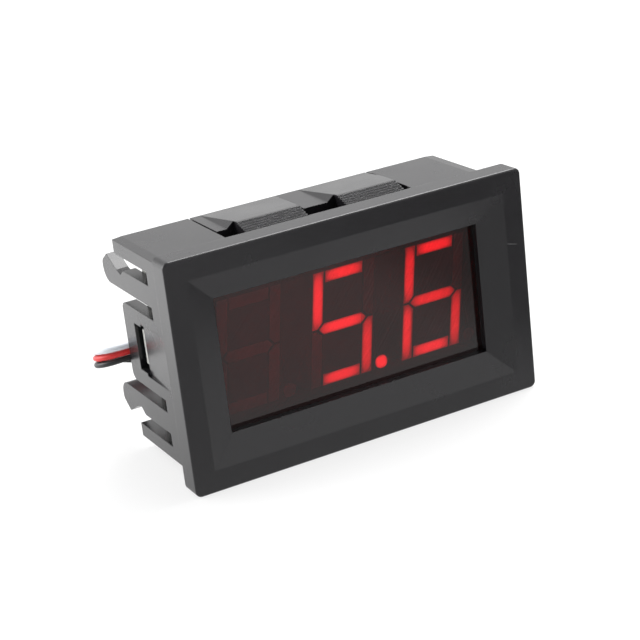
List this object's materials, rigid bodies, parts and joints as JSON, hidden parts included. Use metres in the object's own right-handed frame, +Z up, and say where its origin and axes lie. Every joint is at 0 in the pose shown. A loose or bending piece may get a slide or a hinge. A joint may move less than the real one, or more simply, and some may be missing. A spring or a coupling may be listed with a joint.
{
  "type": "digital panel meter",
  "caption": "Three-digit LED panel meter in a snap-in bezel case with combed side hooks, serrated spring flaps and a three-core lead.",
  "frame": {"origin": "centre of the box round the case, at the level of the bezel's lower edge", "axes": "+X to the right along the bezel's long side, +Y into the panel, +Z up the display"},
  "size_m": [0.05, 0.0321, 0.029],
  "materials": {
    "case_black": "satin",
    "window_tint": "gloss",
    "reflector": "matt",
    "segment_off": "matt",
    "segment_lit": "glowing",
    "laminate": "satin",
    "chip_black": "matt",
    "die_grey": "matt",
    "tinned": "satin",
    "solder": "satin",
    "capacitor_tan": "satin",
    "resistor_black": "satin",
    "trimmer_white": "matt",
    "rotor_brass": "satin",
    "wire_white": "satin",
    "wire_red": "satin",
    "wire_black": "satin"
  },
  "bodies": {
    "meter": {"black_coil": "wire_black", "black_lead": "wire_black", "black_solder_joint": "solder", "black_tip": "tinned", "centre_bottom": "segment_lit", "centre_lower_left": "segment_off", "centre_lower_right": "segment_lit", "centre_middle": "segment_lit", "centre_point": "segment_lit", "centre_top": "segment_lit", "centre_upper_left": "segment_lit", "centre_upper_right": "segment_off", "circuit_board": "laminate", "controller_body": "chip_black", "controller_leads": "tinned", "diode": "chip_black", "display_case": "reflector", "display_pins": "tinned", "display_substrate": "laminate", "housing": "case_black", "led_dice": "die_grey", "left_bottom": "segment_off", "left_lower_left": "segment_off", "left_lower_right": "segment_off", "left_middle": "segment_off", "left_point": "segment_off", "left_top": "segment_off", "left_upper_left": "segment_off", "left_upper_right": "segment_off", "outer_capacitor": "capacitor_tan", "pin_joints": "solder", "red_coil": "wire_red", "red_lead": "wire_red", "red_solder_joint": "solder", "red_tip": "tinned", "regulator_body": "chip_black", "regulator_leads": "tinned", "resistor_1": "resistor_black", "resistor_2": "resistor_black", "resistor_3": "resistor_black", "resistor_4": "resistor_black", "right_bottom": "segment_lit", "right_lower_left": "segment_lit", "right_lower_right": "segment_lit", "right_middle": "segment_lit", "right_point": "segment_off", "right_top": "segment_lit", "right_upper_left": "segment_lit", "right_upper_right": "segment_off", "trimmer_base": "trimmer_white", "upper_capacitor": "capacitor_tan", "white_coil": "wire_white", "white_lead": "wire_white", "white_solder_joint": "solder", "white_tip": "tinned", "window_filter": "window_tint"},
    "rotor": {"trimmer_rotor": "rotor_brass"}
  },
  "joints": [
    {"name": "trimmer_turn", "type": "hinge", "parent": "meter", "child": "rotor", "pos_m": [-0.0092, 0.0043, 0.0147], "axis": [0, 1, 0], "range_deg": [-130, 130]}
  ]
}
